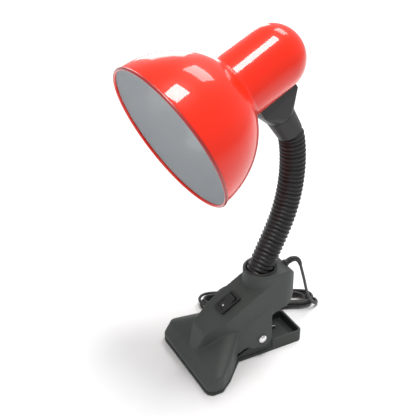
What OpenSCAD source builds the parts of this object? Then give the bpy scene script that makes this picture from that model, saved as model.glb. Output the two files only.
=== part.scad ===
// Clip-on reading lamp: sprung clip, corrugated gooseneck and a bell shade on an E27 holder.
// The clip's pivot axis runs along X above the origin, the jaws point to -Y, and the flat
// underside of the lower jaw lies on Z = 0.

/* [Clip] */
// Half width of the bill, the broad front of both jaws
bill_half_w = 47; // [42:0.5:50]
// Distance from the pivot axis to the front edge of the bill
bill_reach = 69.5; // [66:0.5:72]
// Half width of the raised housing on the upper jaw
ridge_half_w = 18; // [17.5:0.25:18.5]
// Wall thickness of the moulded jaws
wall = 2.4; // [2:0.1:2.8]
// Height of the pivot axis above the resting face
pivot_z = 20.3; // [19.8:0.1:21]
// Slope of the housing's top face, which carries the switch
ridge_slope = 30; // [28:1:32]
// Length of the lower handle behind the pivot axis
handle_reach = 45.5; // [44:0.5:47]

/* [Gooseneck] */
// Outside radius of the corrugated sleeve
sleeve_r = 11.4; // [11:0.1:11.6]
// Radius at the bottom of the grooves
groove_r = 9.9; // [9.6:0.1:10.2]
// Distance from one ridge to the next
ridge_pitch = 4; // [4:0.5:4]
// Ridges on each link of the gooseneck
ridges_per_link = 3; // [3:1:3]
// Backward lean of the gooseneck where it leaves the housing
base_lean = 25; // [23:1:27]

/* [Shade] */
// Radius of the shade's mouth
mouth_r = 65; // [62:1:67]
// Depth of the elliptical bell
bell_depth = 71.5; // [70:0.5:75]
// Radius of the shade's cylindrical neck
shade_neck_r = 27.8; // [27:0.2:29]
// Distance from the mouth to the closed end of the neck
shade_length = 134.6; // [132:0.2:138]
// Sheet thickness of the shade
shade_wall = 0.8; // [0.6:0.1:1]
// Turn of the head on its swivel
head_turn = 6.5; // [-20:0.5:20]

/* [Cord] */
// Diameter of the flex
cord_d = 2.8; // [2.6:0.1:3]

/* [Hidden] */
$fn = 96;
hull_fn = 32;
eps = 0.01;
gap = 0.3;

// Clip
plate = 3;
ear_outer = 20.5;
ear_inner = 17.5;
arm_outer = 17.1;
arm_inner = 14.6;
pin_r = 2.5;
pin_clear = 0.05;
nose_half_w = 12;
nose_r = 10;
nose_y = -46;
nose_plan_y = -50;
slope_z0 = 42;
slope_y0 = -50;
tail_r = 19.5;
tail_y = 21.5;
tail_z = 65;
tail_plan_y = 23;
nose_z = slope_z0 + (nose_y - slope_y0) * tan(ridge_slope) - nose_r / cos(ridge_slope);
throat_r = 8.5;
throat_y = -16.5;
throat_z = 6.5;
ear_back = 11;
ear_low_r = 10;
jaw_parting = 3.6;

// Boss round the gooseneck's root
boss_r = 17.7;
boss_y = 10;
boss_top = tail_z + tail_r;
root_y = 5.6;
root_z = 80;
well_r = sleeve_r + 0.7;
seat_top = -2.5;
seat_low = -6;

// Gooseneck: straight links joined at hinge points; link 0 is fixed in the housing
link_len = ridge_pitch * ridges_per_link;
first_hinge = 7;
hinges = 12;
bends = [0, 0.5, 0.5, 2.5, 4.5, 4.5, 4.5, 4.5, 4.5, 4.5, 7.5, 18.5];
half_gaps = [0.95, 0.95, 0.95, 1.05, 1.3, 1.05, 1.3, 1.05, 1.3, 1.05, 1.6, 2.1];
core_r = 7.2;
core_bore_r = 4.5;
sleeve_bore_r = 7.5;

// Head, in its own frame: origin at the ferrule's mouth, +Z along the ferrule
ferrule_len = 20;
ferrule_low_r = 11.4;
ferrule_top_r = 12.8;
spigot_r = 8;
spigot_clear = 0.07;
neck_tip = 7.4;
mouth_y = 87.4;
mouth_h = 80.1;
neck_axis_h = mouth_h - mouth_y * tan(neck_tip);
socket_r = 13.4;

// Switch, on the sloping face
switch_y = -25;
switch_w = 15;
switch_l = 21;

// Cord
cord_r = cord_d / 2;
hank_x = -50;
hank_y = 36;
hank_turn = 65;
hank_len = 120;
hank_w = 24;
hank_h = 9;
cord_route = [
    [0, 14, 51.5], [0, 21.5, 50], [0, 27.5, 52], [0, 29.6, 59], [0, 27.4, 67], [0, 25.2, 72.5],
    [0, 26, 76.2], [0, 29.33, 78.23], [0, 34.03, 79.94], [0, 39.67, 81.99], [0, 43.6, 82],
    [-0.7, 47.2, 79.2], [-2, 50.8, 73], [-3.3, 53.6, 66.5],
    [-5, 56.5, 60], [-8, 62.5, 48], [-11.5, 68, 34], [-14.5, 73, 23.5], [-17, 77.5, 14.5],
    [-18.5, 81, 7.5], [-17.8, 82.5, 3], [-15, 80.5, 1.5], [-12.5, 75.5, 1.5],
    [-11.5, 69.5, 1.5], [-13.5, 63.5, 1.5], [-18.5, 59.8, 1.5], [-23.5, 58.3, 1.5],
    [-28, 58, 1.5]];
tail_route = [
    [-76.6, 2.2, 1.5], [-80, 6, 1.5], [-83.5, 11.5, 1.7], [-84.8, 17.5, 2.6],
    [-83.6, 23.5, 4.4], [-81.3, 28.5, 5.7], [-79, 33.4, 6]];
plug_x = -79;
plug_y = 33.4;
plug_z = 6;

// ---- shared geometry -------------------------------------------------------------------

// Lean of link k from the vertical, positive to the rear
function lean(k) = k == 0 ? base_lean : lean(k - 1) - bends[k - 1];

// Hinge point k (1 to 12) in the Y-Z plane
function hinge_at(k) = k == 1
    ? [root_y + first_hinge * sin(base_lean), root_z + first_hinge * cos(base_lean)]
    : hinge_at(k - 1) + link_len * [sin(lean(k - 1)), cos(lean(k - 1))];

// Half gap kept free on each side of hinge k
function half_gap(k) = half_gaps[k - 1];

function unit(v) = v / norm(v);

// One ring of points round a path point
function ring(centre, along, side, r, n) =
    let (u = unit(cross(along, side)), w = unit(cross(u, along)))
    [for (i = [0 : n - 1]) centre + r * (cos(360 * i / n) * u + sin(360 * i / n) * w)];

// Direction of a path at its point i
function heading(path, i) = unit(path[min(i + 1, len(path) - 1)] - path[max(i - 1, 0)]);

// Catmull-Rom point at fraction t of the stretch that starts at path point i
function spline_at(path, i, t) =
    let (n = len(path) - 1, a = path[max(i - 1, 0)], b = path[i],
         c = path[min(i + 1, n)], d = path[min(i + 2, n)])
    0.5 * (2 * b + (c - a) * t + (2 * a - 5 * b + 4 * c - d) * t * t
        + (3 * b - a - 3 * c + d) * t * t * t);

// A path with each stretch cut into k parts
function smooth_path(path, k) = concat(
    [for (i = [0 : len(path) - 2]) for (j = [0 : k - 1]) spline_at(path, i, j / k)],
    [path[len(path) - 1]]);

// Closed round tube along a path
module tube(path, r, sides, side) {
    rings = len(path);
    points = [for (i = [0 : rings - 1]) each ring(path[i], heading(path, i), side, r, sides)];
    walls = [for (i = [0 : rings - 2]) for (j = [0 : sides - 1])
        let (a = i * sides + j, b = i * sides + (j + 1) % sides)
        [a, b, b + sides, a + sides]];
    start_cap = [[for (j = [sides - 1 : -1 : 0]) j]];
    end_cap = [[for (j = [0 : sides - 1]) (rings - 1) * sides + j]];
    polyhedron(points = points, faces = concat(start_cap, walls, end_cap), convexity = 10);
}

// A Y-Z outline extruded along X to half width w on both sides
module along_x(w) {
    rotate([90, 0, 90]) translate([0, 0, -w]) linear_extrude(2 * w) children();
}

// A cylinder lying along X, centred on X = 0
module x_cylinder(r, half_w, y, z) {
    translate([-half_w, y, z]) rotate([0, 90, 0]) cylinder(r = r, h = 2 * half_w);
}

// A shape and its mirror image across X = 0
module both_sides() {
    children();
    mirror([1, 0, 0]) children();
}

// Places children on the housing's sloping top face: origin on the face, +Z outward
module on_slope(y) {
    translate([0, y, slope_z0 + (y - slope_y0) * tan(ridge_slope)])
        rotate([ridge_slope, 0, 0])
        children();
}

// Places children at hinge k, with +Z along the link above it
module at_hinge(k) {
    h = hinge_at(k);
    translate([0, h[0], h[1]]) rotate([-lean(k), 0, 0]) children();
}

// Places children at the gooseneck's root, with +Z along it
module at_root() {
    translate([0, root_y, root_z]) rotate([-base_lean, 0, 0]) children();
}

// Places children at the ferrule's mouth, before the swivel
module at_ferrule() {
    at_hinge(hinges) translate([0, 0, half_gap(hinges)]) children();
}

// Places children in the head's frame, after the swivel
module at_head() {
    at_ferrule() rotate([0, 0, head_turn]) children();
}

// Places children in the shade's frame: origin in the mouth, +Z towards the closed end
module at_shade() {
    at_head() translate([0, -mouth_y, mouth_h]) rotate([-90 - neck_tip, 0, 0]) children();
}

// ---- clip ------------------------------------------------------------------------------

// Points on an arc of the Y-Z plane, from angle a to angle b in n steps
function arc(y, z, r, a, b, n) =
    [for (i = [0 : n]) [y + r * cos(a + (b - a) * i / n), z + r * sin(a + (b - a) * i / n)]];

// Side outline of the housing, inset by t: leaning nose, sloping face, round tail
module housing_outline(t) {
    step_y = boss_y + t;
    polygon(concat(
        [[-64.2 + 1.06 * t, 12 - t]],
        arc(nose_y, nose_z, nose_r - t, 161, 90 + ridge_slope, 6),
        [[step_y, slope_z0 + (step_y - slope_y0) * tan(ridge_slope) - t / cos(ridge_slope)],
         [step_y, boss_top - t]],
        arc(tail_y, tail_z, tail_r - t, 90, -90, 28),
        [[ear_back - t, 41 - t], [ear_back - t, 12 - t]]));
}

// Plan outline of the housing, inset by t: a narrow round nose, full width behind it
module housing_plan(t) {
    n = nose_half_w - t;
    w = ridge_half_w - t;
    polygon(concat(
        [for (a = [-165 : 15 : -15]) [n * cos(a), nose_plan_y + n * sin(a)]],
        [for (a = [-20 : 10 : 0]) [w - 6 + 6 * cos(a), -32 + 12 * sin(a)]],
        [for (a = [0 : 6 : 180]) [w * cos(a), tail_plan_y + w * sin(a)]],
        [for (a = [180 : 10 : 200]) [6 - w + 6 * cos(a), -32 + 12 * sin(a)]]));
}

module housing_form(t) {
    intersection() {
        along_x(ridge_half_w) housing_outline(t);
        linear_extrude(100) housing_plan(t);
    }
}

// The bill: a steep front edge, a gently crowned top and flanks that run in to the ears
module bill_form(t) {
    hull()
        both_sides() {
            posts = [[bill_half_w - 7, 7 - bill_reach, 7, 8.3], [bill_half_w - 5.5, -57, 5.5, 18],
                     [34.5, -46.5, 5, 21], [27.5, -39.5, 5, 27], [15.5, -28.5, 5, 36],
                     [12.5, -31, 5, 37]];
            for (p = posts)
                translate([p[0], p[1], jaw_parting])
                    cylinder(r = p[2] - t, h = p[3] - t - jaw_parting, $fn = hull_fn);
        }
}

// The cheeks: side walls that flare from the housing down to the pivot ears
module cheek_form() {
    hull() {
        translate([-ear_outer, -26, 8]) cube([2 * ear_outer, ear_back + 26, 20]);
        translate([-ridge_half_w, -34, 20]) cube([2 * ridge_half_w, 1, 15]);
        translate([-ridge_half_w, ear_back - 1, 40]) cube([2 * ridge_half_w, 1, 14]);
    }
}

module ear_outline() {
    translate([0.5, pivot_z]) circle(r = ear_low_r);
    polygon([[-34, 13], [-7, 11.5], [ear_back - 0.5, pivot_z], [ear_back, 56], [-34, 56]]);
}

// Crosswise ribs that the cover's screws bite into
module cover_ribs() {
    for (p = cover_screw_places)
        translate([0, p[0], p[1]]) rotate([cover_lean, 0, 0])
            translate([1 - ridge_half_w, -4, cover_t + 0.02])
            cube([2 * (ridge_half_w - 1), 8, 8]);
}

module upper_jaw() {
    color([0.21, 0.23, 0.22])
        difference() {
            union() {
                bill_form(0);
                intersection() {
                    cheek_form();
                    along_x(ear_outer) ear_outline();
                }
                housing_form(0);
                translate([0, boss_y, 60]) cylinder(r = boss_r, h = boss_top - 60);
            }
            // hollow of the housing, open below; ribs and the gooseneck's seat stay solid
            difference() {
                intersection() {
                    housing_form(wall);
                    translate([-30, -52, 14]) cube([60, 94, 90]);
                }
                intersection() {
                    cover_ribs();
                    translate([-30, -45, 14]) cube([60, 60, 60]);
                }
                at_root() translate([0, 0, seat_low]) cylinder(r = 16.2, h = 30);
                for (x = [-4.5, 4.5])
                    translate([x, clamp_y, 44]) cylinder(r = 2.6, h = clamp_z - 44);
            }
            // room between the jaws and between the ears
            intersection() {
                bill_form(wall);
                translate([-60, -52, 0]) cube([120, 54, 60]);
            }
            translate([-ear_inner, -34, 0]) cube([2 * ear_inner, ear_back + 40, 30]);
            x_cylinder(throat_r, 60, throat_y, throat_z);
            // seat of the gooseneck
            at_root() {
                translate([0, 0, seat_top]) cylinder(r = well_r, h = 40);
                translate([0, 0, -14]) cylinder(r = core_r + 0.05, h = 20);
                translate([0, 0, seat_low - 4.4]) cylinder(r = 8.8, h = 4.4);
            }
            // screw holes
            for (p = cover_screw_places)
                translate([0, p[0], p[1]]) rotate([cover_lean, 0, 0]) cylinder(r = 1.5, h = 9);
            for (x = [-4.5, 4.5])
                translate([x, clamp_y, clamp_z - 5]) cylinder(r = 1.25, h = 10);
            // switch opening
            on_slope(switch_y)
                translate([-switch_w / 2 + 0.8, -switch_l / 2 + 0.8, -9])
                cube([switch_w - 1.6, switch_l - 1.6, 20]);
            // cord bush
            at_gland() {
                translate([0, 0, -8]) cylinder(r = 3.05, h = 20);
                translate([0, 0, -9]) cylinder(r = 4.3, h = 5.65);
                translate([0, 0, -0.05]) cylinder(r = 4.1, h = 20);
            }
            // way through for the spring's upper leg
            translate([spring_half_w - 1.4, 8.4, 27]) cube([2.8, 6, 9]);
            // pivot bores
            x_cylinder(pin_r + pin_clear, 40, 0, pivot_z);
            // recess for the grip pad
            translate([-bill_half_w + 6, 2.5 - bill_reach, 0]) cube([2 * bill_half_w - 12, 14, 6.4]);
        }
}

// Flat cover that closes the housing's hollow from below
cover_lean = 14.5;
cover_t = 2.2;
cover_screw_places = [[-38, 24.8], [2, 35.15]];

module wiring_cover() {
    color([0.17, 0.18, 0.18])
        difference() {
            intersection() {
                linear_extrude(100) housing_plan(wall + gap);
                translate([0, -38, 24.8]) rotate([cover_lean, 0, 0])
                    translate([-20, -13, 0]) cube([40, 59, cover_t]);
            }
            for (p = cover_screw_places)
                translate([0, p[0], p[1]]) rotate([cover_lean, 0, 0]) translate([0, 0, -1])
                    cylinder(r = 1.8, h = 6);
        }
}

module cover_screws() {
    color([0.75, 0.75, 0.75])
        for (p = cover_screw_places)
            translate([0, p[0], p[1]]) rotate([cover_lean, 0, 0]) {
                translate([0, 0, -1.8]) cylinder(r = 3, h = 1.8);
                translate([0, 0, -0.5]) cylinder(r = 1.45, h = 9);
            }
}

module upper_grip_pad() {
    color([0.1, 0.1, 0.1])
        translate([-bill_half_w + 6.5, 3 - bill_reach, 4.9])
        cube([2 * bill_half_w - 13, 13, 1.5]);
}

module neck_collar() {
    color([0.25, 0.27, 0.26])
        difference() {
            translate([0, root_y + 2.6, boss_top]) {
                cylinder(r = 14.8, h = 0.8);
                translate([0, 0, 0.8]) cylinder(r1 = 14.8, r2 = 14.2, h = 0.6);
            }
            at_root() translate([0, 0, -20]) cylinder(r = well_r + 0.9, h = 60);
        }
}

module neck_clamp_nut() {
    color([0.7, 0.7, 0.68])
        at_root() translate([0, 0, seat_low - 4])
            difference() {
                cylinder(r = 8.5, h = 4, $fn = 6);
                translate([0, 0, -eps]) cylinder(r = core_r, h = 6);
            }
}

module switch_body() {
    color([0.07, 0.07, 0.07])
        on_slope(switch_y)
            difference() {
                union() {
                    translate([-switch_w / 2, -switch_l / 2, 0]) cube([switch_w, switch_l, 1.8]);
                    translate([-switch_w / 2 + 1, -switch_l / 2 + 1, -12])
                        cube([switch_w - 2, switch_l - 2, 12]);
                }
                translate([-switch_w / 2 + 2.2, -switch_l / 2 + 2.2, -5])
                    cube([switch_w - 4.4, switch_l - 4.4, 10]);
            }
}

module switch_terminals() {
    color([0.8, 0.7, 0.4])
        on_slope(switch_y)
            for (y = [-6, 6])
                translate([-2.4, y - 0.4, -17]) cube([4.8, 0.8, 5]);
}

// Rocker: a chevron-topped block on trunnions, tipped to one side
module switch_rocker() {
    color([0.09, 0.09, 0.09])
        on_slope(switch_y)
            translate([0, 0, rocker_axis_h])
            rotate([rocker_tip, 0, 0])
            along_x(switch_w / 2 - 2.5)
            polygon([[-7.3, -1], [-7.6, 1.9], [0, 0.9], [7.6, 1.9], [7.3, -1], [0, -3.2]]);
}

rocker_axis_h = 0.6;
rocker_tip = 7;

gland_angle = 50;
gland_rise = 20;
clamp_y = 21.5;
clamp_z = 51.5;

// Places children at the cord gland on the housing's round tail, +Z outward
module at_gland() {
    translate([0, tail_y + tail_r * cos(gland_angle), tail_z + tail_r * sin(gland_angle)])
        rotate([gland_rise - 90, 0, 0])
        children();
}

module cord_gland() {
    color([0.08, 0.08, 0.08])
        at_gland()
            difference() {
                union() {
                    translate([0, 0, -5]) cylinder(r = 3, h = 5);
                    translate([0, 0, -5]) cylinder(r = 4.2, h = 1.6);
                    cylinder(r1 = 4, r2 = 2.4, h = 4);
                }
                translate([0, 0, -6]) cylinder(r = cord_r + 0.4, h = 20);
            }
}

module cord_clamp() {
    color([0.15, 0.15, 0.15])
        difference() {
            translate([-7.5, clamp_y - 2.5, clamp_z]) cube([15, 5, 3]);
            for (x = [-4.5, 4.5])
                translate([x, clamp_y, clamp_z - 1]) cylinder(r = 1.5, h = 6);
        }
}

module clamp_screws() {
    color([0.75, 0.75, 0.75])
        for (x = [-4.5, 4.5])
            translate([x, clamp_y, clamp_z]) {
                translate([0, 0, 3]) cylinder(r = 2.4, h = 1.4);
                translate([0, 0, -4]) cylinder(r = 1.2, h = 8);
            }
}

module pivot_pin() {
    color([0.85, 0.85, 0.85]) {
        x_cylinder(pin_r, ear_outer + 0.2, 0, pivot_z);
        translate([ear_outer + 0.1, 0, pivot_z]) rotate([0, 90, 0]) cylinder(r = 3.9, h = 1);
    }
}

module pin_cap() {
    color([0.85, 0.85, 0.85])
        translate([-ear_outer - 0.1, 0, pivot_z]) rotate([0, -90, 0])
        difference() {
            cylinder(r = 3.9, h = 1.1);
            translate([0, 0, -eps]) cylinder(r = pin_r, h = 0.1 + eps);
        }
}

// Spring: four turns round the pin, and two legs that push the handles apart
spring_r = 6.4;
spring_wire_r = 1;
spring_turns = 4;
spring_half_w = 6.5;
spring_path = concat(
    [[-spring_half_w, 31, 4.1], [-spring_half_w, 20, 7.2], [-spring_half_w, 9, 11]],
    [for (i = [0 : 10 : 360 * spring_turns])
        [-spring_half_w + 2 * spring_half_w * i / (360 * spring_turns),
         -spring_r * sin(i + 60 - 90) , pivot_z - spring_r * cos(i + 60 - 90)]],
    [[spring_half_w, 8.5, 26.5], [spring_half_w, 13, 35], [spring_half_w, 16.6, 42.4]]);

module torsion_spring() {
    color([0.7, 0.7, 0.7])
        tube(spring_path, spring_wire_r, 10, [1, 0, 0]);
}

// Plan of the lower jaw: bill and waist
module lower_bill_plan() {
    hull()
        for (s = [-1, 1]) {
            translate([s * (bill_half_w - 6.9), 6.9 - bill_reach]) circle(r = 7);
            translate([s * (bill_half_w - 5.4), -57]) circle(r = 5.5);
            translate([s * 34.6, -46.4]) circle(r = 5);
            translate([s * 15, -26.5]) circle(r = 5);
        }
}

// Plan of the handle, inset by t
module handle_plan(t) {
    w = 18.7 - t;
    polygon(concat(
        [[w, -28], [w, handle_reach - 5]],
        [for (a = [0 : 10 : 90]) [w - 5 + t + (5 - t) * cos(a), handle_reach - 5 + (5 - t) * sin(a)]],
        [for (a = [90 : 10 : 180]) [5 - t - w + (5 - t) * cos(a), handle_reach - 5 + (5 - t) * sin(a)]],
        [[-w, -28]]));
}

module lower_jaw() {
    color([0.12, 0.13, 0.14])
        difference() {
            union() {
                linear_extrude(plate) lower_bill_plan();
                linear_extrude(plate) handle_plan(0);
                // handle walls
                difference() {
                    intersection() {
                        linear_extrude(12) handle_plan(0);
                        translate([-30, 12.5, 0]) cube([60, 40, 20]);
                    }
                    translate([0, 0, plate]) linear_extrude(20) handle_plan(wall);
                }
                // pivot arms
                difference() {
                    along_x(arm_outer) {
                        translate([0, pivot_z]) circle(r = 7);
                        polygon([[-29, 1], [-24, 5.5], [-12, 11], [-6, pivot_z + 2],
                                 [6, pivot_z + 2], [16, 12], [16, 1]]);
                    }
                    translate([-arm_inner, -40, plate]) cube([2 * arm_inner, 80, 50]);
                }
            }
            x_cylinder(pin_r + pin_clear, 40, 0, pivot_z);
        }
}

module lower_grip_pad() {
    color([0.1, 0.1, 0.1])
        translate([-bill_half_w + 6.5, 3 - bill_reach, plate])
        cube([2 * bill_half_w - 13, 13, 1.5]);
}

// ---- gooseneck -------------------------------------------------------------------------

// One ridge of the sleeve, centred on its height
module ridge() {
    translate([0, 0, -0.85]) cylinder(r1 = groove_r, r2 = sleeve_r, h = 0.4);
    translate([0, 0, -0.45]) cylinder(r = sleeve_r, h = 0.9);
    translate([0, 0, 0.45]) cylinder(r1 = sleeve_r, r2 = groove_r, h = 0.4);
}

// Sleeve from height a to height b with ridges at the given heights
module ridged_sleeve(a, b, ridges) {
    difference() {
        union() {
            translate([0, 0, a]) cylinder(r = groove_r, h = b - a);
            for (z = ridges)
                translate([0, 0, z]) ridge();
        }
        translate([0, 0, a - 1]) cylinder(r = sleeve_bore_r, h = b - a + 2);
    }
}

// Sleeve link k, between hinge k and hinge k + 1; link 0 sits in the housing
module neck_link(k) {
    color([0.13, 0.14, 0.14])
        if (k == 0)
            at_root() ridged_sleeve(seat_top, first_hinge - half_gap(1), [-1.2, 2, 5]);
        else
            at_hinge(k)
                ridged_sleeve(half_gap(k), link_len - half_gap(k + 1),
                              k == hinges - 1 ? [2.6, 6, 9] : [2, 6, 10]);
}

// Steel conduit inside link k
module neck_core(k) {
    color([0.6, 0.6, 0.6])
        if (k == 0)
            at_root() translate([0, 0, seat_low - 5])
                conduit(first_hinge - half_gap(1) - seat_low + 5);
        else
            at_hinge(k) translate([0, 0, half_gap(k)])
                conduit(link_len - half_gap(k) - half_gap(k + 1));
}

module conduit(h) {
    difference() {
        cylinder(r = core_r, h = h);
        translate([0, 0, -1]) cylinder(r = core_bore_r, h = h + 2);
    }
}

// ---- head ------------------------------------------------------------------------------

module neck_ferrule() {
    color([0.14, 0.15, 0.15])
        at_ferrule()
            difference() {
                cylinder(r1 = ferrule_low_r, r2 = ferrule_top_r, h = ferrule_len);
                translate([0, 0, -eps]) cylinder(r = spigot_r + spigot_clear, h = ferrule_len + 1);
                translate([0, 0, -eps]) cylinder(r = 9.6, h = 6);
            }
}

module swivel_clip() {
    color([0.7, 0.7, 0.7])
        at_head() translate([0, 0, 4.6])
            difference() {
                cylinder(r = 9.2, h = 1);
                translate([0, 0, -1]) cylinder(r = 7.3, h = 3);
            }
}

module head_saddle() {
    color([0.14, 0.15, 0.15])
        at_head()
            difference() {
                union() {
                    hull() {
                        translate([0, 0, ferrule_len + gap])
                            cylinder(r = ferrule_top_r, h = 2, $fn = hull_fn);
                        translate([-14, -18, 38]) cube([28, 38, 14]);
                    }
                    translate([0, 0, 3.6]) cylinder(r = spigot_r, h = ferrule_len);
                }
                translate([0, -60, neck_axis_h + 60 * tan(neck_tip)]) rotate([-90 - neck_tip, 0, 0])
                    cylinder(r = shade_neck_r + 0.02, h = 120);
                translate([0, 0, -1]) cylinder(r = 4.5, h = 60);
                translate([0, 0, 4.5])
                    difference() {
                        cylinder(r = 9, h = 1.2);
                        translate([0, 0, -1]) cylinder(r = 7.2, h = 4);
                    }
                saddle_screw_holes(1.6);
            }
}

screw_offset = 12;

module saddle_screw_holes(r) {
    for (s = [-1, 1])
        translate([0, s * screw_offset, 30]) cylinder(r = r, h = 30);
}

module saddle_screws() {
    color([0.75, 0.75, 0.75])
        at_head()
            for (s = [-1, 1])
                translate([0, s * screw_offset, 0]) {
                    translate([0, 0, 32]) cylinder(r = 1.5, h = 16);
                    translate([0, 0, 47.6]) cylinder(r = 2.8, h = 1.6);
                }
}

// Half profile of the shade's outside, inset by t: bell, neck and round end
function bell_z(r) = bell_depth * sqrt(1 - pow(r / mouth_r, 2));
neck_start_angle = acos(shade_neck_r / mouth_r);
round_end_z = shade_length - shade_neck_r;
fillet_r = 4;

function shade_side(t) = concat(
    [for (a = [0 : 4 : neck_start_angle - 4]) [(mouth_r - t) * cos(a), (bell_depth - t) * sin(a)]],
    [for (a = [-10 : -20 : -90])
        [shade_neck_r - t + (fillet_r + t) * (1 + sin(a)), bell_z(shade_neck_r) + 4.6 - fillet_r * cos(a) * 0.9]],
    [for (a = [0 : 10 : 80])
        [(shade_neck_r - t) * cos(a), round_end_z + (shade_neck_r - t) * sin(a)]],
    [[0, shade_length - t]]);

module shade() {
    outer = shade_side(0);
    inner = shade_side(shade_wall);
    color([0.95, 0.12, 0.03])
        difference() {
            at_shade() {
                rotate_extrude() polygon(concat(outer, [for (i = [len(inner) - 1 : -1 : 0]) inner[i]]));
                rotate_extrude() translate([mouth_r - 0.2, 0]) circle(r = 1.3);
            }
            at_head() {
                saddle_screw_holes(1.7);
                translate([0, 0, 30]) cylinder(r = 4.5, h = 20);
            }
        }
}

// Bracket: a foot on the neck's inner wall and an upright plate that carries the holder
bracket_z = 106;

module holder_bracket() {
    color([0.7, 0.7, 0.7])
        difference() {
            union() {
                at_shade() translate([-9, shade_neck_r - 4.6, bracket_z - 30]) cube([18, 1.4, 31.4]);
                at_shade() translate([-9, -12, bracket_z]) cube([18, shade_neck_r + 7.8, 1.4]);
            }
            at_shade() translate([0, 0, bracket_z - 5]) cylinder(r = 5.05, h = 10);
            at_head() {
                saddle_screw_holes(1.7);
                translate([0, 0, 30]) cylinder(r = 4.5, h = 20);
            }
        }
}

module holder_body() {
    color([0.9, 0.9, 0.86])
        at_shade()
            difference() {
                union() {
                    translate([0, 0, 66]) cylinder(r = 18.5, h = 24);
                    translate([0, 0, 90]) cylinder(r1 = 18.5, r2 = 15, h = 6);
                    translate([0, 0, 96]) cylinder(r = 15, h = 10);
                }
                translate([0, 0, 65]) cylinder(r = 14.3, h = 27);
                translate([0, 0, 91]) cylinder(r = 4, h = 20);
                for (s = [-1, 1])
                    translate([s * 9, 0, 97]) cylinder(r = 2.6, h = 12);
            }
}

module holder_shell() {
    color([0.8, 0.75, 0.5])
        at_shade() translate([0, 0, 67])
            difference() {
                cylinder(r = 14.2, h = 23);
                translate([0, 0, -1]) cylinder(r = socket_r, h = 25);
            }
}

module centre_contact() {
    color([0.8, 0.7, 0.4])
        at_shade() {
            translate([-2.5, -8, 91.2]) cube([5, 12, 0.6]);
            translate([-2.5, -1.5, 90.2]) cube([5, 3, 1.4]);
        }
}

module holder_terminals() {
    color([0.8, 0.7, 0.4])
        at_shade()
            for (s = [-1, 1])
                translate([s * 9, 0, 98]) cylinder(r = 2.3, h = 7);
}

module holder_nut() {
    color([0.7, 0.7, 0.7])
        at_shade()
            difference() {
                union() {
                    translate([0, 0, bracket_z + 1.4]) cylinder(r = 8, h = 3, $fn = 6);
                    translate([0, 0, bracket_z]) cylinder(r = 5, h = 8);
                }
                translate([0, 0, bracket_z - 1]) cylinder(r = 3.5, h = 12);
            }
}

// ---- cord ------------------------------------------------------------------------------

module power_cord() {
    color([0.06, 0.06, 0.06])
        tube(smooth_path(cord_route, 3), cord_r, 8, [1, 0.2, 0]);
}

module cord_tail() {
    color([0.06, 0.06, 0.06])
        tube(smooth_path(tail_route, 2), cord_r, 8, [0, 0, 1]);
}

// Places children at the hank, +X along it
module at_hank() {
    translate([hank_x, hank_y, 0]) rotate([0, 0, hank_turn]) children();
}

module cord_hank() {
    color([0.06, 0.06, 0.06])
        at_hank()
            difference() {
                union() {
                    translate([-hank_len / 2 + hank_w / 2, -hank_w / 2, 0])
                        cube([hank_len - hank_w, hank_w, hank_h]);
                    for (s = [-1, 1])
                        translate([s * (hank_len - hank_w) / 2, 0, 0])
                            cylinder(r = hank_w / 2, h = hank_h);
                }
                // waist under the tie
                for (s = [-1, 1])
                    translate([-3.5, s * hank_w / 2 - (s > 0 ? 1.6 : 0), -1])
                        cube([7, 1.6, hank_h + 2]);
                translate([-3.5, -hank_w, hank_h - 1.6]) cube([7, 2 * hank_w, 3]);
            }
}

module cord_tie() {
    color([0.06, 0.06, 0.06])
        at_hank()
            difference() {
                translate([-3, -hank_w / 2 + 0.2, 0]) cube([6, hank_w - 0.4, hank_h - 0.2]);
                translate([-4, -hank_w / 2 + 1.6, -1]) cube([8, hank_w - 3.2, hank_h - 0.6]);
            }
}

// Places children at the plug, +Y along it towards the pins
module at_plug() {
    translate([plug_x, plug_y, plug_z]) rotate([0, 0, hank_turn - 90]) children();
}

module plug_body() {
    color([0.07, 0.07, 0.07])
        at_plug()
            union() {
                rotate([-90, 0, 0]) cylinder(r1 = 2.2, r2 = 3.6, h = 10);
                translate([-6, 10, -6]) cube([12, 4, 11]);
                translate([-9, 13.9, -6]) cube([18, 20, 12]);
            }
}

module plug_pins() {
    color([0.8, 0.75, 0.6])
        at_plug()
            for (s = [-1, 1])
                translate([s * 5, 33.9, 0]) rotate([-90, 0, 0]) cylinder(r = 2, h = 18);
}

upper_jaw();
wiring_cover();
cover_screws();
upper_grip_pad();
neck_collar();
neck_clamp_nut();
switch_body();
switch_terminals();
switch_rocker();
cord_gland();
cord_clamp();
clamp_screws();
pivot_pin();
pin_cap();
torsion_spring();
lower_jaw();
lower_grip_pad();
neck_link(0);  // neck_link_00
neck_link(1);  // neck_link_01
neck_link(2);  // neck_link_02
neck_link(3);  // neck_link_03
neck_link(4);  // neck_link_04
neck_link(5);  // neck_link_05
neck_link(6);  // neck_link_06
neck_link(7);  // neck_link_07
neck_link(8);  // neck_link_08
neck_link(9);  // neck_link_09
neck_link(10);  // neck_link_10
neck_link(11);  // neck_link_11
neck_core(0);  // neck_core_00
neck_core(1);  // neck_core_01
neck_core(2);  // neck_core_02
neck_core(3);  // neck_core_03
neck_core(4);  // neck_core_04
neck_core(5);  // neck_core_05
neck_core(6);  // neck_core_06
neck_core(7);  // neck_core_07
neck_core(8);  // neck_core_08
neck_core(9);  // neck_core_09
neck_core(10);  // neck_core_10
neck_core(11);  // neck_core_11
neck_ferrule();
swivel_clip();
head_saddle();
saddle_screws();
shade();
holder_bracket();
holder_body();
holder_shell();
centre_contact();
holder_terminals();
holder_nut();
power_cord();
cord_tail();
cord_hank();
cord_tie();
plug_body();
plug_pins();
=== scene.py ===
import bmesh
import bpy
import math
import random
from mathutils import Matrix, Vector


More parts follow.
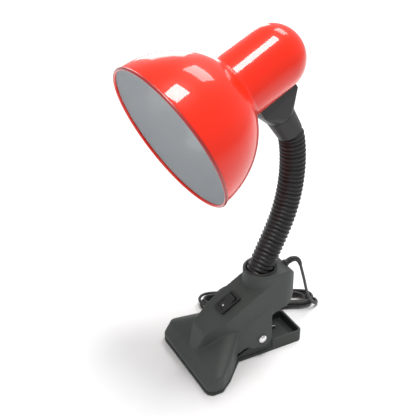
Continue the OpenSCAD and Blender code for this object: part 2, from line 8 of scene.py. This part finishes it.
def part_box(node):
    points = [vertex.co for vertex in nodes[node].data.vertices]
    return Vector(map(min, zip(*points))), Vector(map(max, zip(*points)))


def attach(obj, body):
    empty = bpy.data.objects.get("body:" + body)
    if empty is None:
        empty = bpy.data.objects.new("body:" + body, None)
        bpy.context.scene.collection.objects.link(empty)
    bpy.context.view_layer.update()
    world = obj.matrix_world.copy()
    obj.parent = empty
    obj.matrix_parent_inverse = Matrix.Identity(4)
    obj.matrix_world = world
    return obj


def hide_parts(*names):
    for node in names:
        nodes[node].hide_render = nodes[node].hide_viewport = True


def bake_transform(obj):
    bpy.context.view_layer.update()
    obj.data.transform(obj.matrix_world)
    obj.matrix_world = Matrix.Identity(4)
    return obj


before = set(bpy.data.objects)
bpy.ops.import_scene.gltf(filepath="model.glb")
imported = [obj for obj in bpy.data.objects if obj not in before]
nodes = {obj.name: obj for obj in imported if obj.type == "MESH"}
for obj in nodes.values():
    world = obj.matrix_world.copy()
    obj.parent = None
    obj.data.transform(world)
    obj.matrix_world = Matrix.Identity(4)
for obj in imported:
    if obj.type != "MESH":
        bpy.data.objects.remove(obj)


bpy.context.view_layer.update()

MM = 0.001


# ---------------------------------------------------------------- camera

def make_camera():
    data = bpy.data.cameras.new("camera")
    cam = bpy.data.objects.new("camera", data)
    bpy.context.scene.collection.objects.link(cam)
    a, e, distance = math.radians(61.9), math.radians(31.0), 0.7704
    back = Vector((math.sin(a) * math.cos(e), -math.cos(a) * math.cos(e), math.sin(e)))
    cam.location = Vector((-0.0298, -0.0294, 0.1410)) + back * distance
    cam.rotation_mode = "QUATERNION"
    cam.rotation_quaternion = (-back).to_track_quat("-Z", "Y")
    data.sensor_width = 36.0
    data.lens = 76.4
    data.clip_start, data.clip_end = 0.01, 20.0
    bpy.context.scene.camera = cam


make_camera()


# ---------------------------------------------------------------- materials

def material(name, colour, rough=0.5, metallic=0.0, grain=900.0, bump=0.15, bump_depth=0.0001,
             vary=0.12, rough_vary=0.10, coat=0.0, coat_rough=0.05, patch=35.0, specular=0.5):
    """Procedural surface: fine grain in the bump, slow patches in colour and roughness."""
    m = bpy.data.materials.new(name)
    m.use_nodes = True
    nt = m.node_tree
    b = nt.nodes["Principled BSDF"]
    coords = nt.nodes.new("ShaderNodeTexCoord")
    fine = nt.nodes.new("ShaderNodeTexNoise")
    fine.inputs["Scale"].default_value = grain
    fine.inputs["Detail"].default_value = 4.0
    slow = nt.nodes.new("ShaderNodeTexNoise")
    slow.inputs["Scale"].default_value = patch
    slow.inputs["Detail"].default_value = 5.0
    nt.links.new(coords.outputs["Object"], fine.inputs["Vector"])
    nt.links.new(coords.outputs["Object"], slow.inputs["Vector"])
    ramp = nt.nodes.new("ShaderNodeValToRGB")
    ramp.color_ramp.elements[0].position = 0.3
    ramp.color_ramp.elements[1].position = 0.7
    ramp.color_ramp.elements[0].color = [c * (1 - vary) for c in colour] + [1]
    ramp.color_ramp.elements[1].color = [min(1, c * (1 + vary)) for c in colour] + [1]
    nt.links.new(slow.outputs["Fac"], ramp.inputs["Fac"])
    nt.links.new(ramp.outputs["Color"], b.inputs["Base Color"])
    spread = nt.nodes.new("ShaderNodeMapRange")
    spread.inputs["To Min"].default_value = max(0.02, rough - rough_vary)
    spread.inputs["To Max"].default_value = min(1.0, rough + rough_vary)
    nt.links.new(slow.outputs["Fac"], spread.inputs["Value"])
    nt.links.new(spread.outputs["Result"], b.inputs["Roughness"])
    bumper = nt.nodes.new("ShaderNodeBump")
    bumper.inputs["Strength"].default_value = bump
    bumper.inputs["Distance"].default_value = bump_depth
    nt.links.new(fine.outputs["Fac"], bumper.inputs["Height"])
    nt.links.new(bumper.outputs["Normal"], b.inputs["Normal"])
    b.inputs["Metallic"].default_value = metallic
    b.inputs["Specular IOR Level"].default_value = specular
    if coat:
        b.inputs["Coat Weight"].default_value = coat
        b.inputs["Coat Roughness"].default_value = coat_rough
    return m


M_JAW = material("jaw moulding", (0.046, 0.054, 0.050), 0.55, grain=1500, bump=0.35,
                 vary=0.12, patch=30, specular=0.4)
# A darker copy of the jaw moulding for the lower jaw: painted shade, for the lower jaw lying in the
# upper jaw's shade.
M_JAW_SHADED = material("jaw moulding, painted shade", (0.032, 0.037, 0.034), 0.55, grain=1500, bump=0.35,
                     vary=0.12, patch=30, specular=0.4)
M_DARK = material("dark moulding", (0.022, 0.023, 0.023), 0.5, grain=1800, bump=0.25)
M_RUBBER = material("pad rubber", (0.018, 0.018, 0.018), 0.8, grain=2400, bump=0.5)
M_STEEL = material("spring steel", (0.56, 0.56, 0.55), 0.28, 1.0, grain=3000, bump=0.1)
M_CHROME = material("chromed steel", (0.80, 0.80, 0.80), 0.14, 1.0, grain=3500, bump=0.05,
                    vary=0.05, rough_vary=0.06)
M_SWITCH = material("switch moulding", (0.016, 0.016, 0.017), 0.33, grain=2600, bump=0.12)
M_MARK = material("switch mark", (0.82, 0.82, 0.80), 0.45, grain=2600, bump=0.1, vary=0.04)
M_BRASS = material("brass", (0.70, 0.53, 0.25), 0.25, 1.0, grain=3200, bump=0.08)
M_FLEX = material("flex sheath", (0.012, 0.012, 0.012), 0.45, grain=2600, bump=0.2)
M_PLUG = material("plug moulding", (0.020, 0.020, 0.021), 0.5, grain=1800, bump=0.3)
M_NECK = material("sleeve", (0.012, 0.012, 0.013), 0.42, grain=2200, bump=0.15, patch=60)
M_CORE = material("core steel", (0.30, 0.30, 0.30), 0.4, 1.0, grain=2600, bump=0.15)
M_CONE = material("black cone", (0.014, 0.014, 0.015), 0.46, grain=2000, bump=0.2)
M_HOLDER = material("holder plastic", (0.75, 0.74, 0.70), 0.4, grain=2000, bump=0.12)
M_SHADE = material("shade paint", (0.90, 0.020, 0.0015), 0.35, grain=420, bump=0.05,
                   bump_depth=0.00008, vary=0.03, rough_vary=0.05, coat=0.8, coat_rough=0.05,
                   patch=18, specular=0.15)
M_INNER = material("white enamel", (0.52, 0.555, 0.58), 0.30, grain=500, bump=0.05,
                   bump_depth=0.00008, vary=0.03, rough_vary=0.06, coat=0.6, coat_rough=0.10,
                   patch=20)
# The shade's red darkened for the rim bead: painted shade on the bead.
M_RIM_SHADED = material("rim paint, painted shade", (0.34, 0.012, 0.010), 0.32, grain=900, bump=0.08, coat=0.5)

CAD_FINISH = {
    "upper_jaw": M_JAW, "wiring_cover": M_DARK, "cover_screws": M_STEEL,
    "upper_grip_pad": M_RUBBER, "neck_collar": M_DARK, "neck_clamp_nut": M_CHROME,
    "switch_body": M_SWITCH, "switch_terminals": M_BRASS, "switch_rocker": M_SWITCH,
    "cord_gland": M_DARK, "cord_clamp": M_DARK, "clamp_screws": M_STEEL,
    "pivot_pin": M_CHROME, "pin_cap": M_CHROME, "torsion_spring": M_STEEL,
    "lower_jaw": M_JAW_SHADED, "lower_grip_pad": M_RUBBER, "neck_ferrule": M_CONE,
    "swivel_clip": M_STEEL, "head_saddle": M_CONE, "saddle_screws": M_STEEL,
    "shade": M_SHADE, "holder_bracket": M_STEEL, "holder_body": M_HOLDER,
    "holder_shell": M_BRASS, "centre_contact": M_BRASS, "holder_terminals": M_BRASS,
    "holder_nut": M_CHROME, "power_cord": M_FLEX, "cord_tail": M_FLEX, "cord_hank": M_FLEX,
    "cord_tie": M_FLEX, "plug_body": M_PLUG, "plug_pins": M_BRASS,
}


def paint(obj, *mats):
    obj.data.materials.clear()
    for m in mats:
        obj.data.materials.append(m)
    return obj


for name, obj in nodes.items():
    if name in CAD_FINISH:
        paint(obj, CAD_FINISH[name])
    elif name.startswith("neck_core"):
        paint(obj, M_CORE)
    elif name.startswith("neck_link"):
        paint(obj, M_NECK)


# ---------------------------------------------------------------- mesh helpers

def link(obj):
    bpy.context.scene.collection.objects.link(obj)
    return obj


def mesh_object(name, verts, faces, mats, smooth=True, indices=None):
    mesh = bpy.data.meshes.new(name)
    mesh.from_pydata([tuple(v) for v in verts], [], faces)
    mesh.update()
    obj = link(bpy.data.objects.new(name, mesh))
    for m in mats:
        mesh.materials.append(m)
    for i, p in enumerate(mesh.polygons):
        p.use_smooth = smooth
        if indices is not None:
            p.material_index = indices[i]
    return obj


def any_normal(d):
    d = d.normalized()
    side = Vector((1, 0, 0)) if abs(d.x) < 0.8 else Vector((0, 1, 0))
    u = d.cross(side).normalized()
    return u, d.cross(u).normalized()


def lathe(name, origin, axis, profile, mats, segments=128, closed=False, groups=None):
    """Turns the profile, pairs of place along the axis and radius, about the axis."""
    u, v = any_normal(axis)
    a = axis.normalized()
    verts, faces, indices = [], [], []
    for s, r in profile:
        for i in range(segments):
            t = 2 * math.pi * i / segments
            verts.append(origin + a * s + (u * math.cos(t) + v * math.sin(t)) * r)
    n = len(profile)
    for j in range(n if closed else n - 1):
        k = (j + 1) % n
        for i in range(segments):
            h = (i + 1) % segments
            faces.append((j * segments + i, j * segments + h, k * segments + h, k * segments + i))
            indices.append(groups[j] if groups else 0)
    if not closed:
        faces.append(tuple(reversed(range(segments))))
        faces.append(tuple(range((n - 1) * segments, n * segments)))
        indices += [groups[0] if groups else 0, groups[-1] if groups else 0]
    return mesh_object(name, verts, faces, mats, True, indices)


def fix_normals(obj):
    bm = bmesh.new()
    bm.from_mesh(obj.data)
    bmesh.ops.recalc_face_normals(bm, faces=bm.faces)
    bm.to_mesh(obj.data)
    bm.free()


def catmull(points, step):
    """A smooth line through the points, resampled at an even step."""
    pts = [Vector(p) for p in points]
    pts = [2 * pts[0] - pts[1]] + pts + [2 * pts[-1] - pts[-2]]
    out = []
    for i in range(1, len(pts) - 2):
        p0, p1, p2, p3 = pts[i - 1:i + 3]
        n = max(2, int((p2 - p1).length / (step / 6)))
        for k in range(n):
            t = k / n
            out.append(0.5 * ((2 * p1) + (p2 - p0) * t + (2 * p0 - 5 * p1 + 4 * p2 - p3) * t * t
                              + (3 * p1 - p0 - 3 * p2 + p3) * t * t * t))
    out.append(pts[-2])
    even, left = [out[0]], step
    for a, b in zip(out, out[1:]):
        d = (b - a).length
        while d >= left and d > 0:
            a = a + (b - a) * (left / d)
            even.append(a)
            d = (b - a).length
            left = step
        left -= d
    if (even[-1] - out[-1]).length > step * 0.3:
        even.append(out[-1])
    else:
        even[-1] = out[-1]
    return even


# ---------------------------------------------------------------- places of neck and head

ROOT = (5.6, 80.0)
BASE_LEAN = 25.0
BENDS = [0, 0.5, 0.5, 2.5] + [4.5] * 6 + [7.5, 18.5]
FIRST_HINGE, LINK = 7.0, 12.0
FERRULE_GAP = 2.1
HEAD_TURN, NECK_TIP = 6.5, 7.4
MOUTH_Y, MOUTH_H = 87.4, 80.1


def lean_dir(a):
    a = math.radians(a)
    return Vector((0, math.sin(a), math.cos(a)))


def neck_chain():
    """Lean of each link, and the hinge at each link's start."""
    leans = [BASE_LEAN]
    for bend in BENDS:
        leans.append(leans[-1] - bend)
    place = Vector((0, *ROOT)) + lean_dir(BASE_LEAN) * FIRST_HINGE
    hinges = [place]
    for lean in leans[1:-1]:
        place = place + lean_dir(lean) * LINK
        hinges.append(place)
    return leans, hinges


LEANS, HINGES = neck_chain()
NECK_END = FIRST_HINGE + LINK * (len(HINGES) - 1)


def head_place():
    """Middle of the shade's mouth, and the axis from it to the closed end."""
    up = lean_dir(LEANS[-1])
    turn = math.radians(HEAD_TURN)
    tip = math.radians(NECK_TIP)
    back = up.cross(Vector((1, 0, 0))) * math.cos(turn) - Vector((1, 0, 0)) * math.sin(turn)
    ferrule = HINGES[-1] + up * FERRULE_GAP
    mouth = ferrule - back * MOUTH_Y + up * MOUTH_H
    return mouth * MM, (back * math.cos(tip) - up * math.sin(tip)).normalized()


# ---------------------------------------------------------------- shade

MOUTH, SHADE_AXIS = head_place()
MOUTH_R, BELL, NECK_R, LENGTH, SHEET = 65.0, 71.5, 27.8, 134.6, 0.8


def outer_profile():
    ellipse = [(BELL * math.sin(t), MOUTH_R * math.cos(t)) for t in
               [math.radians(64.6) * i / 90 for i in range(91)]]
    fillet = 4.0

    def nearest(c):
        best = min(ellipse, key=lambda q: math.hypot(q[0] - c, q[1] - NECK_R - fillet))
        return math.hypot(best[0] - c, best[1] - NECK_R - fillet), best

    low, high = 60.0, 80.0
    for _ in range(40):
        mid = (low + high) / 2
        if nearest(mid)[0] < fillet:
            low = mid
        else:
            high = mid
    c = high
    touch = nearest(c)[1]
    profile = [q for q in ellipse if q[0] <= touch[0]]
    start = math.atan2(touch[1] - NECK_R - fillet, touch[0] - c)
    start = start if start < 0 else start - 2 * math.pi
    for i in range(1, 9):
        t = start + (-math.pi / 2 - start) * i / 8
        profile.append((c + fillet * math.cos(t), NECK_R + fillet + fillet * math.sin(t)))
    dome = LENGTH - NECK_R
    profile += [(c + (dome - c) * i / 10, NECK_R) for i in range(1, 11)]
    for i in range(1, 29):
        t = math.radians(89.3) * i / 28
        profile.append((dome + NECK_R * math.sin(t), NECK_R * math.cos(t)))
    return profile


def make_shade():
    outer = outer_profile()
    inner = []
    for i, (s, r) in enumerate(outer):
        a, b = outer[max(0, i - 1)], outer[min(len(outer) - 1, i + 1)]
        d = math.hypot(b[0] - a[0], b[1] - a[1])
        ns, nr = -(b[1] - a[1]) / d, (b[0] - a[0]) / d
        inner.append((s - ns * SHEET, max(0.05, r - nr * SHEET)))
    inner[0] = (0.0, MOUTH_R - SHEET)
    outer = outer[2:]
    inner = inner[2:]
    profile = [(s, r) for s, r in reversed(outer)] + [(s, r) for s, r in inner]
    groups = [0] * len(outer) + [1] * len(inner)
    obj = lathe("shade_shell", MOUTH, SHADE_AXIS, [(s * MM, r * MM) for s, r in profile],
                [M_SHADE, M_INNER], 192, False, groups)
    fix_normals(obj)
    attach(obj, "head_body")
    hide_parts("shade")
    ring = [(0.9 + 1.3 * math.cos(2 * math.pi * i / 20), 64.5 + 1.3 * math.sin(2 * math.pi * i / 20))
            for i in range(20)]
    # Most of the bead takes the darkened red, which is painted shade; the band facing the axis takes
    # the plain shade paint.
    groups = [1 if math.sin(2 * math.pi * (i + .5) / 20) < -0.35 else 0 for i in range(20)]
    bead = lathe("shade_rim", MOUTH, SHADE_AXIS, [(s * MM, r * MM) for s, r in ring],
                 [M_RIM_SHADED, M_SHADE], 192, True, groups)
    fix_normals(bead)
    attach(bead, "head_body")


make_shade()


# ---------------------------------------------------------------- gooseneck

def neck_point(s):
    """Place and direction on the smooth centreline, s in mm from the root."""
    root = Vector((0, *ROOT))
    if s <= 0:
        return root + lean_dir(BASE_LEAN) * s, lean_dir(BASE_LEAN)
    if s >= NECK_END:
        return HINGES[-1] + lean_dir(LEANS[-1]) * (s - NECK_END), lean_dir(LEANS[-1])
    knots = [(0.0, root, BASE_LEAN)]
    for k, h in enumerate(HINGES):
        knots.append((FIRST_HINGE + LINK * k, h, (LEANS[k] + LEANS[k + 1]) / 2))
    for (s0, a, a0), (s1, b, a1) in zip(knots, knots[1:]):
        if s0 <= s <= s1:
            span = s1 - s0
            t = (s - s0) / span
            da, db = lean_dir(a0) * span, lean_dir(a1) * span
            h00, h10 = 2 * t**3 - 3 * t**2 + 1, t**3 - 2 * t**2 + t
            h01, h11 = -2 * t**3 + 3 * t**2, t**3 - t**2
            p = a * h00 + da * h10 + b * h01 + db * h11
            g = (a * (6 * t * t - 6 * t) + da * (3 * t * t - 4 * t + 1)
                 + b * (6 * t - 6 * t * t) + db * (3 * t * t - 2 * t))
            return p, g.normalized()
    return None


def sleeve_radius(s):
    if s > 139.2 or s < -1.5:
        return 9.95
    phase = ((s - 1.0) % 4.0) / 4.0
    wave = 0.5 + 0.5 * math.cos(2 * math.pi * phase)
    return 9.95 + 1.45 * wave ** 0.8


def make_sleeve(k):
    start = 12.0 * k - 13 if k > 1 else -4.5
    end = 12.0 * k - 1 if k < 12 else 143.0
    step, segments = 0.25, 72
    count = int(round((end - start) / step))
    verts, faces = [], []
    for j in range(count + 1):
        s = start + (end - start) * j / count
        p, d = neck_point(s)
        u = Vector((1, 0, 0))
        v = d.cross(u).normalized()
        r = sleeve_radius(s)
        for i in range(segments):
            t = 2 * math.pi * i / segments
            verts.append((p + (u * math.cos(t) + v * math.sin(t)) * r) * MM)
    for j in range(count):
        for i in range(segments):
            h = (i + 1) % segments
            faces.append((j * segments + i, j * segments + h,
                          (j + 1) * segments + h, (j + 1) * segments + i))
    # inner wall, so the sleeve is a real tube
    base = len(verts)
    for j in (0, count):
        p, d = neck_point(start + (end - start) * j / count)
        u = Vector((1, 0, 0))
        v = d.cross(u).normalized()
        for i in range(segments):
            t = 2 * math.pi * i / segments
            verts.append((p + (u * math.cos(t) + v * math.sin(t)) * 9.0) * MM)
    for i in range(segments):
        h = (i + 1) % segments
        faces.append((base + i, base + h, base + segments + h, base + segments + i))
        faces.append((i, h, base + h, base + i))
        top = count * segments
        faces.append((top + i, top + h, base + segments + h, base + segments + i))
    obj = mesh_object("sleeve_%02d" % k, verts, faces, [M_NECK])
    fix_normals(obj)
    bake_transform(obj)
    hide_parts("neck_link_%02d" % (k - 1))
    return obj


for k in range(1, 13):
    make_sleeve(k)


# ---------------------------------------------------------------- rounded mouldings

def moulding(node, name, voxel, rounds, mat, body):
    """The moulded shell with its edges softened, as a moulding's edges are."""
    source = nodes[node]
    obj = link(bpy.data.objects.new(name, source.data.copy()))
    remesh = obj.modifiers.new("remesh", "REMESH")
    remesh.mode = "VOXEL"
    remesh.voxel_size = voxel
    smooth = obj.modifiers.new("smooth", "SMOOTH")
    smooth.factor = 0.5
    smooth.iterations = rounds
    bpy.context.view_layer.update()
    graph = bpy.context.evaluated_depsgraph_get()
    mesh = bpy.data.meshes.new_from_object(obj.evaluated_get(graph))
    bpy.data.objects.remove(obj)
    mesh.name = name
    out = link(bpy.data.objects.new(name, mesh))
    for p in mesh.polygons:
        p.use_smooth = True
        p.material_index = 0
    paint(out, mat)
    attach(out, body)
    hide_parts(node)
    return out


moulding("upper_jaw", "upper_moulding", 0.0006, 5, M_JAW, "clip_body")
# The lower jaw takes the darkened jaw colour, which is painted shade.
moulding("lower_jaw", "lower_moulding", 0.0006, 5, M_JAW_SHADED, "lower_body")


# ---------------------------------------------------------------- cord

CORD_D = 2.8
LEAD = [(0, 37.8, 81.3), (0, 41.2, 82.5), (-0.3, 45.6, 82.2), (-1.1, 49.6, 78.8),
        (-2.6, 52.8, 72.6), (-4.4, 56.0, 64.5), (-6.8, 60.2, 54.0), (-9.6, 64.8, 42.0),
        (-12.8, 69.4, 30.0),
        (-15.4, 74.2, 19.5), (-16.8, 79.2, 10.5), (-17.8, 84.4, 4.6), (-20.6, 89.6, 2.0),
        (-26.0, 91.6, 1.5), (-31.2, 88.8, 1.5)]
HANK = Vector((-50, 36, 0))
ALONG = Vector((0.4226, 0.9063, 0))
ACROSS = Vector((0.9063, -0.4226, 0))
TAIL = [(-76.9, 2.6, 1.5), (-80.4, 6.4, 1.5), (-83.6, 11.5, 1.8), (-84.8, 17.5, 2.8),
        (-83.7, 23.2, 4.5), (-81.7, 28.4, 5.7), (-79.0, 33.4, 6.0)]


def hank_turns():
    """Oblong turns, each its own length and place, one wire's width apart."""
    rnd = random.Random(11)
    out = []
    # half length, half width, height, shift along, shift across
    turns = [(56, 10.4, 1.5, 0.0, 0.0), (53, 10.3, 4.4, 1.5, 0.1), (57, 10.4, 7.4, -0.5, -0.1),
             (51, 7.4, 7.3, -2.0, 0.1), (53, 7.4, 4.4, 1.0, 0.0), (50, 7.4, 1.5, 0.0, 0.0)]
    steps = 28
    for index, (half, wide, z, shift, side) in enumerate(turns):
        straight = half - wide
        nxt = turns[index + 1] if index + 1 < len(turns) else turns[index]
        loop = []
        for i in range(steps):
            t = i / steps
            if index == len(turns) - 1 and t > 0.44:
                break
            # a racetrack, started at the far end of its right-hand side
            if t < 0.36:
                u = t / 0.36
                x, y = straight * (1 - 2 * u), wide
            elif t < 0.5:
                u = (t - 0.36) / 0.14 * math.pi
                x, y = -straight - wide * math.sin(u), wide * math.cos(u)
            elif t < 0.86:
                u = (t - 0.5) / 0.36
                x, y = straight * (2 * u - 1), -wide
            else:
                u = (t - 0.86) / 0.14 * math.pi
                x, y = straight + wide * math.sin(u), -wide * math.cos(u)
            rise = max(0.0, (t - 0.86) / 0.14)
            zz = z + (nxt[2] - z) * rise
            wave = 0.35 * math.sin(3.1 * t * 2 * math.pi + index * 1.7)
            pinch = 1.0 - 0.13 * math.exp(-(x / 8.0) ** 2)
            loop.append(HANK + ALONG * (x + shift) + ACROSS * (y * pinch + side + wave * 0.5)
                        + Vector((0, 0, zz + rnd.uniform(-0.05, 0.05))))
        out += loop
    return out


def make_cord():
    route = [Vector(p) for p in LEAD] + hank_turns()[2:] + [Vector(p) for p in TAIL]
    line = catmull([p * MM for p in route], 1.5 * MM)
    for _ in range(14):
        line = (line[:3] + [(a + 2 * b + c) / 4 for a, b, c in zip(line[2:], line[3:-3], line[4:])]
                + line[-3:])
    line = catmull(line[::2] + ([line[-1]] if len(line) % 2 == 0 else []), 1.5 * MM)
    curve = bpy.data.curves.new("power_flex", "CURVE")
    curve.dimensions = "3D"
    curve.bevel_depth = CORD_D / 2 * MM
    curve.bevel_resolution = 5
    curve.use_fill_caps = True
    spline = curve.splines.new("POLY")
    spline.points.add(len(line) - 1)
    for p, q in zip(spline.points, line):
        p.co = (*q, 1)
    spline.use_smooth = True
    obj = link(bpy.data.objects.new("power_flex", curve))
    curve.materials.append(M_FLEX)
    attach(obj, "clip_body")
    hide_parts("power_cord", "cord_tail", "cord_hank")
    return line


def make_band():
    """Strap round the middle of the hank."""
    half, high, thick, corner = 11.3, 9.6, 0.7, 3.2
    ring = []
    for cx, cz, start in ((half - corner, high - corner, 0), (corner - half, high - corner, 90),
                          (corner - half, corner, 180), (half - corner, corner, 270)):
        for i in range(9):
            t = math.radians(start + i * 90 / 8)
            ring.append((cx, cz, math.cos(t), math.sin(t)))
    section = [(x, r) for x, r in ((-3.0, 0.15), (-2.8, 0.0), (2.8, 0.0), (3.0, 0.15),
                                   (3.0, 0.55), (2.8, 0.7), (-2.8, 0.7), (-3.0, 0.55))]
    verts, faces = [], []
    for cx, cz, c, d in ring:
        for x, r in section:
            reach = corner - r
            verts.append((HANK + ALONG * x + ACROSS * (cx + c * reach)
                          + Vector((0, 0, cz + d * reach))) * MM)
    n, m = len(ring), len(section)
    for j in range(n):
        for i in range(m):
            k, h = (j + 1) % n, (i + 1) % m
            faces.append((j * m + i, j * m + h, k * m + h, k * m + i))
    obj = mesh_object("hank_band", verts, faces, [M_FLEX])
    fix_normals(obj)
    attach(obj, "clip_body")
    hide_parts("cord_tie")
    return obj


def make_relief(line):
    """Ribbed sleeve on the first 22 mm of the flex."""
    segments, reach = 40, 22.0
    walk, s = [(0.0, line[0])], 0.0
    for a, b in zip(line, line[1:]):
        s += (b - a).length / MM
        walk.append((s, b))
        if s > reach + 2:
            break

    def at(x):
        for (s0, a), (s1, b) in zip(walk, walk[1:]):
            if s0 <= x <= s1:
                return a + (b - a) * ((x - s0) / (s1 - s0)), (b - a).normalized()
        return walk[-1][1], (walk[-1][1] - walk[-2][1]).normalized()

    verts, faces = [], []
    count = 110
    for j in range(count + 1):
        x = reach * j / count
        p, d = at(x)
        p2, _ = at(min(reach, x + 1.2))
        p1, _ = at(max(0.0, x - 1.2))
        d = (p2 - p1).normalized() if (p2 - p1).length > 1e-9 else d
        u = Vector((1, 0, 0))
        v = d.cross(u).normalized()
        u = v.cross(d).normalized()
        r = 2.9 - 1.15 * x / reach
        if 2.0 < x < 20.0 and (x % 2.6) > 1.5:
            r -= 0.45
        if j == count:
            r = 1.45
        for i in range(segments):
            t = 2 * math.pi * i / segments
            verts.append(p + (u * math.cos(t) + v * math.sin(t)) * r * MM)
    for j in range(count):
        for i in range(segments):
            h = (i + 1) % segments
            faces.append((j * segments + i, j * segments + h,
                          (j + 1) * segments + h, (j + 1) * segments + i))
    faces.append(tuple(range(segments)))
    faces.append(tuple(range(count * segments, (count + 1) * segments)))
    obj = mesh_object("strain_relief", verts, faces, [M_FLEX])
    fix_normals(obj)
    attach(obj, "clip_body")


band = make_band()
cord_line = make_cord()
make_relief(cord_line)


# ---------------------------------------------------------------- small pieces

def make_switch_mark():
    """The small white dot on the rocker's front half."""
    slope = math.radians(30)
    base = Vector((0, -25, 42 + 25 * math.tan(slope)))
    turn = Matrix.Rotation(slope, 3, "X")
    axis_up = base + turn @ Vector((0, 0, 0.6))
    tip = turn @ Matrix.Rotation(math.radians(7), 3, "X")
    place = axis_up + tip @ Vector((0, -4.9, 1.57))
    normal = tip @ Vector((0, -0.13, 0.99)).normalized()
    mark = lathe("switch_mark", place * MM - normal * 0.3 * MM, normal,
                 [(0, 0.9 * MM), (0.38 * MM, 0.9 * MM), (0.45 * MM, 0.8 * MM)], [M_MARK], 32)
    fix_normals(mark)
    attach(mark, "rocker_body")


make_switch_mark()


def make_pin_heads():
    """Domed faces on the pivot's two heads."""
    profile = [(0, 0.0038), (0.0003, 0.00375), (0.0005, 0.0034), (0.0006, 0.0031),
               (0.0010, 0.0026), (0.0013, 0.0018), (0.00145, 0.0009), (0.0015, 0.0001)]
    for name, node, side in (("pin_dome_right", "pivot_pin", 1), ("pin_dome_left", "pin_cap", -1)):
        low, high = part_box(node)
        x = high[0] if side > 0 else low[0]
        dome = lathe(name, Vector((x - side * 0.00005, 0, 0.0203)), Vector((side, 0, 0)),
                     profile, [M_CHROME], 64)
        fix_normals(dome)
        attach(dome, "clip_body")


make_pin_heads()


# ---------------------------------------------------------------- stage and light

def make_stage():
    size = 6.0
    mesh = bpy.data.meshes.new("floor")
    mesh.from_pydata([(-size, -size, 0), (size, -size, 0), (size, size, 0), (-size, size, 0)],
                     [], [(0, 1, 2, 3)])
    floor = link(bpy.data.objects.new("floor", mesh))
    mesh.materials.append(material("paper", (0.93, 0.93, 0.93), 0.85, grain=300, bump=0.03,
                                   vary=0.01))


def area(name, place, target, size, power, size_y=None):
    data = bpy.data.lights.new(name, "AREA")
    data.shape = "RECTANGLE"
    data.size = size
    data.size_y = size_y or size
    data.energy = power
    obj = link(bpy.data.objects.new(name, data))
    obj.location = place
    d = Vector(target) - Vector(place)
    obj.rotation_mode = "QUATERNION"
    obj.rotation_quaternion = d.to_track_quat("-Z", "Y")


def make_light():
    world = bpy.data.worlds.new("studio")
    bpy.context.scene.world = world
    world.use_nodes = True
    background = world.node_tree.nodes["Background"]
    background.inputs["Color"].default_value = (1, 1, 1, 1)
    background.inputs["Strength"].default_value = 0.5
    area("top box", (0.16, 0.06, 1.50), (0.0, -0.02, 0.1), 0.42, 13, 0.42)
    area("back box", (-0.42, 0.72, 1.25), (0, 0, 0.25), 0.55, 5, 0.40)
    area("left box", (-1.15, 0.42, 0.50), (0, 0, 0.28), 0.40, 3.2, 0.60)
    area("small lamp", (-0.23, -0.41, 1.31), (-0.013, -0.058, 0.184), 0.07, 0.9)
    area("front fill", (0.5, -1.3, 0.8), (0, 0, 0.2), 0.9, 3.0, 0.9)
    scene = bpy.context.scene
    scene.view_settings.view_transform = "Standard"


make_stage()
make_light()
